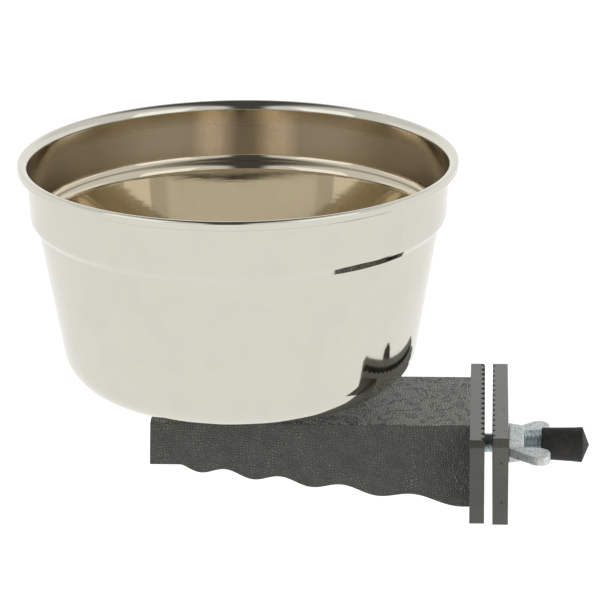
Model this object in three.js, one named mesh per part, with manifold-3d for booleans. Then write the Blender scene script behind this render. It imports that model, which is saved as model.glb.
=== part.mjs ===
// A stainless pet bowl on a clamp-on bracket, for hanging on the wires of a crate or cage.
//
// Millimetres, +Z up. The origin lies on the bolt's axis, in the plane of the bracket's clamping face,
// where the crate wires are gripped. +X points out through the crate wall, so the bowl hangs at -X.
// The bowl drops on to a three-lug hub on the arm, and a part turn locks it.

import * as THREE from 'three';
import { mergeVertices } from 'three/addons/utils/BufferGeometryUtils.js';
import Module from 'manifold-3d';

const wasm = await Module();
wasm.setup();

// Fits
const seatGap = 0.3; // between two pieces that touch
const runGap = 0.35; // between two pieces that move past each other

// Bowl, measured from the bowl's own axis and the underside of its base
const bowlReach = 82.3; // bowl axis to clamping face
const bowlHeight = 77;
const bowlSteel = 0.7;
const rimRadius = 73;
const rimInnerRound = 2.9; // where the collar turns outwards
const rimOuterRound = 0.9;
const rimDepth = 3.1; // height of the rolled edge
const rimCurlEnd = THREE.MathUtils.degToRad(-110);
const collarTopRadius = 69.9;
const collarFootRadius = 69.1;
const stepTopHeight = 58;
const stepFootHeight = 55;
const bodyTopRadius = 66.6;
const collarFootRound = 3;
const stepFootRound = 0.6;
const baseRadius = 44.5;
const baseCorner = 14.9;

// Clamp plates: the bracket's flange and the loose outer plate
const flangeWidth = 79.3;
const flangeTop = 15.05; // above the bolt's axis
const flangeFoot = 13.5; // below it
const flangeChamfer = 2;
const flangeThickness = 4.9;
const clampWidth = 78.2;
const clampTop = 15.4;
const clampFoot = 14.1;
const clampChamfer = 2.3;
const clampThickness = 5.15;
const wireGap = 2.7;
const toothPitch = 4.85;
const toothMargin = 1;
const flangeGrooveWidth = 4;
const flangeGrooveDepth = 1.5;
const clampGrooveWidth = 2;
const clampGrooveDepth = 0.9;

// Arm of the bracket
const armWidth = 48;
const armDraft = THREE.MathUtils.degToRad(1.5);
const armEndReach = 28.75; // bowl axis to the arm's free end, at the top
const armEndLean = 0.4;
const armEndDepth = 14.75;
const armWall = 2.6;
const armTopWall = 3;
const armEdgeRadius = 0.4;
const armCornerRadius = 0.8;
const gripMeanDepth = 17.93; // under the bowl axis
const gripSlope = 0.1283;
const gripHeight = 1.14;
const gripPitch = 19.36;
const gripStretch = 0.0566; // how fast the finger scallops widen towards the flange
const gripCrest = 14.58; // the scallop next to the bowl axis
const gripEndCount = 2; // scallops from there to the level part under the free end
const ribThickness = 1.8;
const longRibSpacing = 20;
const longRibDepth = 3.4;
const crossRibDepth = 8;
const crossRibSpacing = 17;
const crossRibCount = 4;

// Bolt, nut and cap
const boltRadius = 3.175;
const boltLength = 34.9; // under the head
const boltHeadRadius = 7.4;
const boltHeadHeight = 3.9;
const boltNeckWidth = 6.35;
const boltNeckLength = 4;
const boltTipChamfer = 0.9;
const nutHubRadius = 6.8;
const nutHubEndRadius = 6;
const nutHubLength = 5.2;
const nutWingRoot = 7.4;
const nutSpan = 27.4;
const nutLength = 14;
const nutTipRadius = 3.65;
const nutRootThickness = 3.6;
const nutTipThickness = 3.2;
const nutChamfer = 0.6;
const nutShoulder = 0.2; // how far below the hub's end the wings start
const nutTurn = THREE.MathUtils.degToRad(7);
const nutTravel = 5.85; // free thread between the nut's hub and the cap
const capMouthRadius = 5.35;
const capEndRadius = 6;
const capNose = 2.4;
const capEndWall = 2.9;
const capDroop = THREE.MathUtils.degToRad(1.4);

// Twist lock between the arm and the bowl
const lockHeight = 7.85; // arm's top to the underside of the bowl
const lockSheet = 1.1;
const lockWeldRadius = 26;
const lockCupRadius = 20;
const lockLipRadius = 14.6;
const hubStemRadius = 13.5;
const hubLugRadius = 19;
const hubLugCount = 3;
const hubLugAngle = 50;
const hubLugThickness = 2.3;
const hubSpigotRadius = 5.5;
const hubSpigotDepth = 2.2;
const notchPlay = 3; // degrees at each side of a lug
const notchRadialPlay = 0.6;
const stopAngle = 4;
const stopPlay = 2;
const stopDepth = 1.7;
const ringInnerPlay = 0.7;
const ringOuterRadius = 20.6;
const screwOffset = 9.8;
const screwRadius = 1.5;
const screwHeadRadius = 2.8;
const screwHeadHeight = 1.5;
const screwGrip = 9.2;
const screwTip = 1.6;
const bossRadius = 3.6;
const bossDepth = 11;

// Smoothness
const bowlSegments = 60;
const roundSegments = 32;
const smallSegments = 20;
const gripStep = 1;

// Where the pieces sit
const armTop = flangeTop;
const bowlBase = armTop + lockHeight;
const armEndX = -bowlReach - armEndReach;
const clampFace = wireGap;
const nutFace = wireGap + clampThickness + seatGap;
const capFace = nutFace + nutHubLength + nutTravel;
const headFace = -flangeThickness - seatGap;
const boltEnd = headFace + boltLength;
const capBore = boltEnd - capFace + seatGap;
const capLength = capBore + capEndWall;

const steel = new THREE.MeshStandardMaterial({ color: 0xd6d3c8, roughness: 0.12, metalness: 1 });
const weldedSteel = new THREE.MeshStandardMaterial({ color: 0xb9b7b0, roughness: 0.4, metalness: 1 });
const plastic = new THREE.MeshStandardMaterial({ color: 0x5b5a54, roughness: 0.6, metalness: 0 });
const zinc = new THREE.MeshStandardMaterial({ color: 0xc3ccd0, roughness: 0.4, metalness: 1 });
const rubber = new THREE.MeshStandardMaterial({ color: 0x30302e, roughness: 0.8, metalness: 0 });

// Turns a closed geometry into a solid: vertices merged, slivers at the poles dropped.
function solid(geometry) {
  const bare = new THREE.BufferGeometry();
  bare.setAttribute('position', geometry.getAttribute('position'));
  bare.setIndex(geometry.getIndex());
  const merged = mergeVertices(bare, 1e-4);
  const corners = merged.getIndex().array;
  const triangles = [];
  for (let i = 0; i < corners.length; i += 3) {
    const [a, b, c] = corners.slice(i, i + 3);
    if (a !== b && b !== c && c !== a) triangles.push(a, b, c);
  }
  return new wasm.Manifold(new wasm.Mesh({
    numProp: 3,
    vertProperties: new Float32Array(merged.getAttribute('position').array),
    triVerts: Uint32Array.from(triangles),
  }));
}

function meshFrom(body, name, material) {
  const { vertProperties, triVerts } = body.getMesh();
  const geometry = new THREE.BufferGeometry();
  geometry.setAttribute('position', new THREE.BufferAttribute(vertProperties, 3));
  geometry.setIndex(new THREE.BufferAttribute(triVerts, 1));
  geometry.computeVertexNormals();
  const mesh = new THREE.Mesh(geometry, material);
  mesh.name = name;
  return mesh;
}

const unitX = new THREE.Vector3(1, 0, 0);
const unitY = new THREE.Vector3(0, 1, 0);
const unitZ = new THREE.Vector3(0, 0, 1);

// An outline drawn in y and z, carried along x from one place to another.
function prismX(outline, from, to) {
  const geometry = new THREE.ExtrudeGeometry(outline, { depth: to - from, bevelEnabled: false });
  geometry.applyMatrix4(new THREE.Matrix4().makeBasis(unitY, unitZ, unitX));
  return solid(geometry.translate(from, 0, 0));
}

// An outline drawn in x and z, carried along y to the same distance at each side.
function prismY(outline, halfWidth) {
  const geometry = new THREE.ExtrudeGeometry(outline, { depth: 2 * halfWidth, bevelEnabled: false });
  geometry.applyMatrix4(new THREE.Matrix4().makeBasis(unitX, unitZ, unitY.clone().negate()));
  return solid(geometry.translate(0, halfWidth, 0));
}

// An outline drawn in x and y, carried up along z.
function prismZ(outline, from, to) {
  const geometry = new THREE.ExtrudeGeometry(outline, { depth: to - from, bevelEnabled: false });
  return solid(geometry.translate(0, 0, from));
}

// A profile of radius and height, turned about z; it runs anticlockwise round its material.
function revolveZ(profile, segments) {
  const points = profile.map(([radius, height]) => new THREE.Vector2(radius, height));
  return solid(new THREE.LatheGeometry(points, segments).rotateX(Math.PI / 2));
}

// The same, turned about x, for the bolt and what is on it.
function revolveX(profile, segments) {
  const points = profile.map(([radius, along]) => new THREE.Vector2(radius, along));
  return solid(new THREE.LatheGeometry(points, segments).rotateZ(-Math.PI / 2));
}

function arc(centreX, centreY, radius, from, to, steps) {
  const points = [];
  for (let i = 0; i <= steps; i += 1) {
    const angle = from + (to - from) * i / steps;
    points.push([centreX + radius * Math.cos(angle), centreY + radius * Math.sin(angle)]);
  }
  return points;
}

// The arc that rounds the corner b of the line a, b, c.
function fillet(a, b, c, radius, steps) {
  const [pa, pb, pc] = [a, b, c].map((p) => new THREE.Vector2(...p));
  const toA = pa.clone().sub(pb).normalize();
  const toC = pc.clone().sub(pb).normalize();
  const halfAngle = Math.acos(THREE.MathUtils.clamp(toA.dot(toC), -1, 1)) / 2;
  const middle = toA.clone().add(toC).normalize();
  const centre = pb.clone().addScaledVector(middle, radius / Math.sin(halfAngle));
  const start = pb.clone().addScaledVector(toA, radius / Math.tan(halfAngle)).sub(centre);
  const end = pb.clone().addScaledVector(toC, radius / Math.tan(halfAngle)).sub(centre);
  let sweep = end.angle() - start.angle();
  if (sweep > Math.PI) sweep -= 2 * Math.PI;
  if (sweep < -Math.PI) sweep += 2 * Math.PI;
  return arc(centre.x, centre.y, radius, start.angle(), start.angle() + sweep, steps);
}

// A line of points moved sideways to its left by a distance, for the second face of a sheet.
function offsetLine(points, distance) {
  return points.map((point, i) => {
    const before = new THREE.Vector2(...points[Math.max(i - 1, 0)]);
    const here = new THREE.Vector2(...point);
    const after = new THREE.Vector2(...points[Math.min(i + 1, points.length - 1)]);
    const arriving = (i > 0 ? here.clone().sub(before) : after.clone().sub(here)).normalize();
    const leaving = (i < points.length - 1 ? after.clone().sub(here) : arriving.clone()).normalize();
    const along = arriving.clone().add(leaving).normalize();
    const reach = distance / along.dot(arriving);
    return [here.x - along.y * reach, here.y + along.x * reach];
  });
}

function rectangle(x0, y0, x1, y1) {
  return new THREE.Shape([[x0, y0], [x1, y0], [x1, y1], [x0, y1]].map((p) => new THREE.Vector2(...p)));
}

function polygon(points) {
  return new THREE.Shape(points.map((p) => new THREE.Vector2(...p)));
}

function sector(innerRadius, outerRadius, from, to) {
  const [a, b] = [from, to].map(THREE.MathUtils.degToRad);
  const steps = Math.max(2, Math.round((to - from) / 8));
  return polygon([
    ...arc(0, 0, outerRadius, a, b, steps),
    ...arc(0, 0, innerRadius, b, a, steps),
  ]);
}

// Bowl: one sheet, drawn up from the base, stepped out to the collar and curled outwards at the rim.
function makeBowl() {
  const rollX = rimRadius - rimOuterRound;
  const turnY = bowlHeight - rimInnerRound;
  const rollTop = bowlHeight - rimOuterRound;
  const rollFoot = bowlHeight - rimDepth + rimOuterRound;
  const innerRoll = rimOuterRound - bowlSteel;
  const collarFoot = [collarFootRadius, stepTopHeight];
  const stepFoot = [bodyTopRadius, stepFootHeight];
  const toCorner = new THREE.Vector2(baseRadius - stepFoot[0], baseCorner - stepFoot[1]);
  const tangent = Math.asin(baseCorner / toCorner.length());
  const wallAngle = toCorner.angle() - Math.PI + tangent - Math.PI / 2;
  const corner = arc(baseRadius, baseCorner, baseCorner, -Math.PI / 2, wallAngle, 7);
  const collarTop = [collarTopRadius, turnY];
  const outside = [
    [0, 0],
    ...corner,
    ...fillet(corner[corner.length - 1], stepFoot, collarFoot, stepFootRound, 2),
    ...fillet(stepFoot, collarFoot, collarTop, collarFootRound, 3),
  ];
  const inside = offsetLine([...outside, collarTop], bowlSteel).reverse().slice(1);
  inside[inside.length - 1][0] = 0;
  return revolveZ([
    ...outside,
    ...arc(rollX, turnY, rimInnerRound - bowlSteel, Math.PI, Math.PI / 2, 4),
    ...arc(rollX, rollTop, innerRoll, Math.PI / 2, 0, 2),
    ...arc(rollX, rollFoot, innerRoll, 0, rimCurlEnd, 2),
    ...arc(rollX, rollFoot, rimOuterRound, rimCurlEnd, 0, 4),
    ...arc(rollX, rollTop, rimOuterRound, 0, Math.PI / 2, 3),
    ...arc(rollX, turnY, rimInnerRound, Math.PI / 2, Math.PI, 5),
    ...inside,
  ], bowlSegments);
}

// Heights of the twist lock above the arm's top, from the welded ring down to the rubber ring
const weldTop = lockHeight - seatGap;
const weldFoot = weldTop - lockSheet;
const hubTop = weldFoot - runGap;
const lugFoot = hubTop - hubLugThickness;
const lipTop = lugFoot - runGap;
const lipFoot = lipTop - lockSheet;
const ringTop = lipFoot - runGap;

// Lock plate: a drawn ring welded under the bowl, its inward lip notched for the hub's lugs.
function makeLockPlate() {
  const cupOuter = lockCupRadius + lockSheet;
  let plate = revolveZ([
    [lockLipRadius, lipFoot],
    [cupOuter, lipFoot],
    [cupOuter, weldFoot],
    [lockWeldRadius, weldFoot],
    [lockWeldRadius, weldTop],
    [lockCupRadius, weldTop],
    [lockCupRadius, lipTop],
    [lockLipRadius, lipTop],
    [lockLipRadius, lipFoot],
  ], bowlSegments);
  const lugHalf = hubLugAngle / 2;
  for (let i = 0; i < hubLugCount; i += 1) {
    const middle = 360 * i / hubLugCount;
    const reach = lugHalf + notchPlay;
    const notch = sector(lockLipRadius - 1, hubLugRadius + notchRadialPlay, middle - reach, middle + reach);
    plate = plate.subtract(prismZ(notch, lipFoot - 1, lipTop + 1));
    const stopEnd = middle - lugHalf - stopPlay;
    const stopInner = lockCupRadius - stopDepth;
    const stopOuter = lockCupRadius + lockSheet / 2;
    const stop = sector(stopInner, stopOuter, stopEnd - stopAngle, stopEnd);
    plate = plate.add(prismZ(stop, lipTop + runGap, weldFoot - runGap));
  }
  return plate;
}

// Lock hub: a stem with three lugs, a spigot that centres it on the arm, and two countersunk screws.
function makeLockHub() {
  let hub = revolveZ([
    [0, -hubSpigotDepth],
    [hubSpigotRadius, -hubSpigotDepth],
    [hubSpigotRadius, seatGap],
    [hubStemRadius, seatGap],
    [hubStemRadius, hubTop],
    [0, hubTop],
  ], bowlSegments);
  for (let i = 0; i < hubLugCount; i += 1) {
    const middle = 360 * i / hubLugCount;
    const lug = sector(hubStemRadius - 1, hubLugRadius, middle - hubLugAngle / 2, middle + hubLugAngle / 2);
    hub = hub.add(prismZ(lug, lugFoot, hubTop));
  }
  const holeRadius = screwRadius + seatGap;
  const sinkRadius = screwHeadRadius + seatGap;
  const hole = revolveZ([
    [0, -1],
    [holeRadius, -1],
    [holeRadius, hubTop - screwHeadHeight - seatGap],
    [sinkRadius, hubTop - seatGap],
    [sinkRadius, hubTop + 1],
    [0, hubTop + 1],
  ], smallSegments);
  return hub
    .subtract(hole.translate([-screwOffset, 0, 0]))
    .subtract(hole.translate([screwOffset, 0, 0]));
}

function makeHubScrew() {
  const headTop = hubTop - seatGap;
  return revolveZ([
    [0, -screwGrip],
    [screwRadius, screwTip - screwGrip],
    [screwRadius, headTop - screwHeadHeight],
    [screwHeadRadius, headTop],
    [0, headTop],
  ], smallSegments);
}

// Friction ring: flat rubber, trapped round the stem between the arm and the lock plate's lip.
function makeFrictionRing() {
  const innerRadius = hubStemRadius + ringInnerPlay;
  return revolveZ([
    [innerRadius, seatGap],
    [ringOuterRadius, seatGap],
    [ringOuterRadius, ringTop],
    [innerRadius, ringTop],
    [innerRadius, seatGap],
  ], bowlSegments);
}

// Depth of the arm below its top, at a distance from the bowl axis: level under the free end, then a
// slope with a cosine of finger scallops whose pitch grows towards the flange.
function armDepth(fromBowl) {
  const turns = (fromBowl - gripCrest) / gripPitch;
  const phase = Math.max(turns - gripStretch * turns * turns, -gripEndCount);
  const wave = gripHeight * Math.cos(2 * Math.PI * phase);
  return Math.max(armEndDepth, gripMeanDepth + gripSlope * fromBowl - wave);
}

// Cross-section of the arm in y and z: sides that widen downwards, and rounded top edges.
function armSection(halfWidth, top, radius) {
  const foot = -2 * flangeFoot;
  const spread = (top - foot) * Math.tan(armDraft);
  const right = [[halfWidth + spread, foot], [halfWidth, top], [-halfWidth, top]];
  const edge = radius > 0 ? fillet(...right, radius, 3) : [right[1]];
  const mirrored = edge.map(([y, z]) => [-y, z]).reverse();
  return polygon([right[0], ...edge, ...mirrored, [-right[0][0], foot]]);
}

function makeArm() {
  const joinX = -flangeThickness / 2;
  const lower = [];
  const count = Math.round((joinX - armEndX + armEndLean) / gripStep);
  for (let i = 0; i <= count; i += 1) {
    const x = armEndX - armEndLean + (joinX - armEndX + armEndLean) * i / count;
    lower.push([x, armTop - armDepth(x + bowlReach)]);
  }
  const side = polygon([...lower, [joinX, armTop], [armEndX, armTop]]);
  const widest = armWidth / 2 + (armTop + flangeFoot) * Math.tan(armDraft);
  const planX = armEndX - armEndLean + armCornerRadius;
  const planY = widest - armCornerRadius;
  const plan = polygon([
    [joinX, -widest],
    [joinX, widest],
    ...arc(planX, planY, armCornerRadius, Math.PI / 2, Math.PI, 4),
    ...arc(planX, -planY, armCornerRadius, Math.PI, 1.5 * Math.PI, 4),
  ]);
  const outer = prismY(side, 2 * widest)
    .intersect(prismX(armSection(armWidth / 2, armTop, armEdgeRadius), armEndX - 2 * armWall, joinX))
    .intersect(prismZ(plan, -2 * flangeFoot, 2 * armTop));
  const innerTop = armTop - armTopWall;
  const innerEnd = armEndX + armWall;
  const hollow = prismX(armSection(armWidth / 2 - armWall, innerTop, 0), innerEnd, -flangeThickness);
  return outer.subtract(hollow).add(makeRibs(innerTop, innerEnd));
}

// Ribs and screw bosses under the arm's top wall. The bay next to the flange stays free of cross
// ribs, because the bolt goes in through it.
function makeRibs(innerTop, innerEnd) {
  const halfInside = (armWidth - armWall) / 2;
  const ribTop = innerTop + armTopWall / 2;
  const ribs = [];
  for (const y of [-longRibSpacing / 2, longRibSpacing / 2]) {
    const outline = rectangle(y - ribThickness / 2, innerTop - longRibDepth, y + ribThickness / 2, ribTop);
    ribs.push(prismX(outline, innerEnd - armWall / 2, -flangeThickness / 2));
  }
  for (let i = 0; i < crossRibCount; i += 1) {
    const x = -bowlReach + (i - 1) * crossRibSpacing;
    const outline = rectangle(-halfInside, innerTop - crossRibDepth, halfInside, ribTop);
    ribs.push(prismX(outline, x - ribThickness / 2, x + ribThickness / 2));
  }
  for (const x of [-screwOffset, screwOffset]) {
    const boss = revolveZ([
      [0, armTop - bossDepth],
      [bossRadius, armTop - bossDepth],
      [bossRadius, ribTop],
      [0, ribTop],
    ], smallSegments);
    ribs.push(boss.translate([x - bowlReach, 0, 0]));
  }
  return ribs.reduce((all, rib) => all.add(rib));
}

// A plate in x and y whose one face has V grooves, the same at both sides of the bolt.
function groovedOutline({ width, plainX, groovedX, grooveWidth, grooveDepth, firstGroove }) {
  const inwards = Math.sign(plainX - groovedX);
  const half = width / 2;
  const points = [[groovedX, -half]];
  const reach = half - toothMargin - grooveWidth / 2;
  const lastGroove = Math.floor((reach - firstGroove) / toothPitch);
  for (let k = -Math.floor((reach + firstGroove) / toothPitch); k <= lastGroove; k += 1) {
    const y = firstGroove + k * toothPitch;
    points.push([groovedX, y - grooveWidth / 2]);
    points.push([groovedX + inwards * grooveDepth, y]);
    points.push([groovedX, y + grooveWidth / 2]);
  }
  points.push([groovedX, half], [plainX, half], [plainX, -half]);
  return polygon(points);
}

// A clamp plate: grooved on one face, with its two upper corners cut off.
function makePlate(plate) {
  const { width, top, foot, chamfer, plainX, groovedX } = plate;
  const half = width / 2;
  const face = polygon([
    [half, -foot],
    [half, top - chamfer],
    [half - chamfer, top],
    [chamfer - half, top],
    [-half, top - chamfer],
    [-half, -foot],
  ]);
  const [low, high] = [Math.min(plainX, groovedX), Math.max(plainX, groovedX)];
  return prismZ(groovedOutline(plate), -2 * foot, 2 * top).intersect(prismX(face, low - 1, high + 1));
}

// Bracket: the arm, its flange, and the holes for the bolt's square neck, the hub and its screws.
function makeBracket() {
  const flange = makePlate({
    width: flangeWidth,
    top: flangeTop,
    foot: flangeFoot,
    chamfer: flangeChamfer,
    plainX: -flangeThickness,
    groovedX: 0,
    grooveWidth: flangeGrooveWidth,
    grooveDepth: flangeGrooveDepth,
    firstGroove: toothPitch / 2,
  });
  const halfNeck = boltNeckWidth / 2 + seatGap;
  const neckHole = prismX(rectangle(-halfNeck, -halfNeck, halfNeck, halfNeck), -2 * flangeThickness, 1);
  const spigotRadius = hubSpigotRadius + seatGap;
  const spigotHole = revolveZ([
    [0, armTop - 2 * armTopWall],
    [spigotRadius, armTop - 2 * armTopWall],
    [spigotRadius, armTop + 1],
    [0, armTop + 1],
  ], smallSegments);
  const pilotRadius = screwRadius + seatGap;
  const pilot = revolveZ([
    [0, armTop - screwGrip - seatGap],
    [pilotRadius, armTop - screwGrip - seatGap],
    [pilotRadius, armTop + 1],
    [0, armTop + 1],
  ], smallSegments);
  return makeArm()
    .add(flange)
    .subtract(neckHole)
    .subtract(spigotHole.translate([-bowlReach, 0, 0]))
    .subtract(pilot.translate([-bowlReach - screwOffset, 0, 0]))
    .subtract(pilot.translate([-bowlReach + screwOffset, 0, 0]));
}

function makeClampPlate() {
  const plate = makePlate({
    width: clampWidth,
    top: clampTop,
    foot: clampFoot,
    chamfer: clampChamfer,
    plainX: clampFace + clampThickness,
    groovedX: clampFace,
    grooveWidth: clampGrooveWidth,
    grooveDepth: clampGrooveDepth,
    firstGroove: 0,
  });
  const holeRadius = boltRadius + runGap;
  const hole = revolveX([
    [0, 0],
    [holeRadius, 0],
    [holeRadius, 2 * nutFace],
    [0, 2 * nutFace],
  ], roundSegments);
  return plate.subtract(hole);
}

// Coach bolt: a shallow domed head, a square neck held by the flange, and a chamfered shank.
function makeBolt() {
  const domeRadius = (boltHeadRadius ** 2 + boltHeadHeight ** 2) / (2 * boltHeadHeight);
  const domeAngle = Math.asin(boltHeadRadius / domeRadius);
  const domeCentre = headFace - boltHeadHeight + domeRadius;
  const dome = arc(0, domeCentre, domeRadius, -Math.PI / 2, domeAngle - Math.PI / 2, 6);
  const body = revolveX([
    [0, dome[0][1]],
    ...dome.slice(1),
    [boltRadius, headFace],
    [boltRadius, boltEnd - boltTipChamfer],
    [boltRadius - boltTipChamfer, boltEnd],
    [0, boltEnd],
  ], roundSegments);
  const half = boltNeckWidth / 2;
  return body.add(prismX(rectangle(-half, -half, half, half), headFace - 1, headFace + boltNeckLength));
}

// Wing nut, its base at x = 0: a tapered hub, and two broad wings that sweep out from the base, level
// with the hub on their inside and round at the end.
function makeWingNut() {
  const hub = revolveX([
    [0, 0],
    [nutHubRadius, 0],
    [nutHubEndRadius, nutHubLength],
    [0, nutHubLength],
  ], roundSegments);
  const tipX = nutLength - nutTipRadius;
  const tipY = nutSpan / 2 - nutTipRadius;
  const toTip = new THREE.Vector2(tipX - nutChamfer, tipY - nutWingRoot);
  const tangent = toTip.angle() + Math.asin(nutTipRadius / toTip.length()) + Math.PI / 2;
  const wing = polygon([
    [0, -1],
    [nutHubLength - nutShoulder, -1],
    [nutHubLength - nutShoulder, nutHubEndRadius],
    ...arc(tipX, tipY, nutTipRadius, -Math.PI / 2, tangent, 10),
    [nutChamfer, nutWingRoot],
    [0, nutWingRoot - nutChamfer],
  ]);
  const mirrored = polygon(wing.getPoints().map(({ x, y }) => [x, -y]).reverse());
  const section = polygon([
    [-nutSpan / 2, -nutTipThickness / 2],
    [0, -nutRootThickness / 2],
    [nutSpan / 2, -nutTipThickness / 2],
    [nutSpan / 2, nutTipThickness / 2],
    [0, nutRootThickness / 2],
    [-nutSpan / 2, nutTipThickness / 2],
  ]);
  const slab = prismX(section, -1, nutLength + 1);
  const wings = prismZ(wing, -nutRootThickness, nutRootThickness)
    .add(prismZ(mirrored, -nutRootThickness, nutRootThickness))
    .intersect(slab);
  const boreRadius = boltRadius + seatGap;
  const bore = revolveX([
    [0, -1],
    [boreRadius, -1],
    [boreRadius, nutLength],
    [0, nutLength],
  ], roundSegments);
  return hub.add(wings).subtract(bore);
}

// Cap, its mouth at x = 0: a tapered rubber sleeve with a conical nose.
function makeCap() {
  const boreRadius = boltRadius + seatGap;
  return revolveX([
    [0, capBore],
    [boreRadius, capBore],
    [boreRadius, 0],
    [capMouthRadius, 0],
    [capEndRadius, capLength],
    [0, capLength + capNose],
  ], roundSegments);
}

const bowlGroup = new THREE.Group();
bowlGroup.position.set(-bowlReach, 0, bowlBase);
bowlGroup.add(meshFrom(makeBowl(), 'bowl', steel));

const lockGroup = new THREE.Group();
lockGroup.position.set(-bowlReach, 0, armTop);
lockGroup.add(meshFrom(makeLockPlate(), 'lock_plate', weldedSteel));
lockGroup.add(meshFrom(makeFrictionRing(), 'friction_ring', rubber));
lockGroup.add(meshFrom(makeLockHub(), 'lock_hub', plastic));
[-screwOffset, screwOffset].forEach((x, i) => {
  const screw = meshFrom(makeHubScrew(), `hub_screw_${i + 1}`, zinc);
  screw.position.x = x;
  lockGroup.add(screw);
});

const clampGroup = new THREE.Group();
clampGroup.add(meshFrom(makeBracket(), 'bracket', plastic));
clampGroup.add(meshFrom(makeClampPlate(), 'clamp_plate', plastic));
clampGroup.add(meshFrom(makeBolt(), 'clamp_bolt', zinc));
const wingNut = meshFrom(makeWingNut(), 'wing_nut', zinc);
wingNut.position.x = nutFace;
wingNut.rotation.x = nutTurn;
clampGroup.add(wingNut);
const cap = meshFrom(makeCap(), 'bolt_cap', rubber);
cap.position.x = capFace;
cap.rotation.y = capDroop;
clampGroup.add(cap);

const crateBowl = new THREE.Group();
crateBowl.add(bowlGroup, lockGroup, clampGroup);

export default crateBowl;
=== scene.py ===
"""The looks of a crate pet bowl: a steel bowl that twists on to a plastic arm, clamped to crate wires.

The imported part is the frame: metres, +Z up, the clamp bolt along +X from the origin.
"""

import bmesh
import bpy
import numpy as np
from mathutils import Matrix, Vector


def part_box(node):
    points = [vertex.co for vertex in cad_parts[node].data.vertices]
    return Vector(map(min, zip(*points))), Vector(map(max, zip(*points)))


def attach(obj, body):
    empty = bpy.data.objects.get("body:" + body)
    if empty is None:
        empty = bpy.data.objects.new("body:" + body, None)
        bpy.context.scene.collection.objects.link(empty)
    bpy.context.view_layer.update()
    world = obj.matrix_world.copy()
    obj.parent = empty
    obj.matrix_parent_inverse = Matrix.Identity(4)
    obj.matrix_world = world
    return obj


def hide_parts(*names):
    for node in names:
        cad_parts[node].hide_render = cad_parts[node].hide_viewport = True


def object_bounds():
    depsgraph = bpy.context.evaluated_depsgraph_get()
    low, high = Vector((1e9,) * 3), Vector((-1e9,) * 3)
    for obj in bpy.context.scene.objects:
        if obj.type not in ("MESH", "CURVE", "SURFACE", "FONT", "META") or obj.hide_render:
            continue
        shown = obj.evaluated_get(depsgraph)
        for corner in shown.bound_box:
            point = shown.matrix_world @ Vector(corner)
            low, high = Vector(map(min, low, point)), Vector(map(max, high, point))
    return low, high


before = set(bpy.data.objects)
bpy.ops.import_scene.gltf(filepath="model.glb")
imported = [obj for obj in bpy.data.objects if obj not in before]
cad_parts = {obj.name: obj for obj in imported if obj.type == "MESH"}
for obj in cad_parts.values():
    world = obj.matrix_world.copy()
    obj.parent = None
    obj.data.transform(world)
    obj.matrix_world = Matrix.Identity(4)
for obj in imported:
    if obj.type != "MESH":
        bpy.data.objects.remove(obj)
cad_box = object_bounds()  # of the solids alone, before any piece replaces them

# Bracket: one moulding of dark grey polypropylene, a hollow ribbed arm ending in a toothed flange.
# It comes out of the tool with a leather grain on the arm and a smooth, satin flange, and its edges
# are as round as the tool's own corners.
MM = 0.001
GRAIN_CELL = 0.9 * MM
GRAIN_DEPTH = 0.45 * MM
GRAIN_DISORDER = 0.6
SWIRL_SIZE = 10 * MM
SWIRL_REACH = 4.6 * MM
# The arm's grain colours, around the plastic's own dark grey: creases darker as painted shade, humps
# lighter as painted light.
ARM_CREASE_PAINTED_SHADE = (0.063, 0.063, 0.054, 1)
ARM_HUMP_PAINTED_LIGHT = (0.143, 0.143, 0.122, 1)
# On the arm's top face: a stronger painted highlight on the humps and painted shade in the creases.
ARM_TOP_PAINTED_HIGHLIGHT = (0.48, 0.48, 0.40, 1)
ARM_TOP_PAINTED_SHADE = (0.020, 0.020, 0.016, 1)
ARM_TOP = 15.05 * MM
SMOOTH_COLOUR = (0.056, 0.057, 0.047, 1)
SMOOTH_LIGHT = (0.072, 0.073, 0.060, 1)
SCUFF_COLOUR = (0.22, 0.22, 0.2, 1)
# Colour of the pin marks' dents: near black, painted shade in them.
PIN_MARK_PAINTED_SHADE = (0.012, 0.012, 0.010, 1)
MARK_DEPTH = 0.2 * MM
MOULD_ROUND = 0.15 * MM
FLANGE_BACK = -4.9 * MM
SHARP_CORNER = np.radians(30)
FLAT_WITHIN = np.radians(0.3)
CORNER_STEPS = 2


class Nodes:
    """A node tree that grows by calls; a call takes numbers or the outputs of other calls."""

    def __init__(self, tree):
        self.nodes = tree.nodes
        self.links = tree.links

    def plug(self, socket, value):
        if isinstance(value, bpy.types.NodeSocket):
            self.links.new(value, socket)
        else:
            socket.default_value = value

    def add(self, kind, output, settings=(), values=(), **inputs):
        """A node's output, once its inputs are filled by their place in the list or by their name."""
        node = self.nodes.new("ShaderNode" + kind)
        for name, value in dict(settings).items():
            setattr(node, name, value)
        for index, value in enumerate(values):
            self.plug(node.inputs[index], value)
        for name, value in inputs.items():
            self.plug(node.inputs[name.replace("_", " ")], value)
        return node.outputs[output]

    def maths(self, operation, first, second=0.0):
        return self.add("Math", "Value", {"operation": operation}, (first, second))

    def vector_maths(self, operation, *values, output="Vector"):
        return self.add("VectorMath", output, {"operation": operation}, values)

    def span(self, value, low, high, first=0.0, last=1.0, easing="LINEAR"):
        """Value from low to high becomes first to last, and is held there beyond them."""
        return self.add("MapRange", "Result", {"interpolation_type": easing},
                        (value, low, high, first, last))


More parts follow.
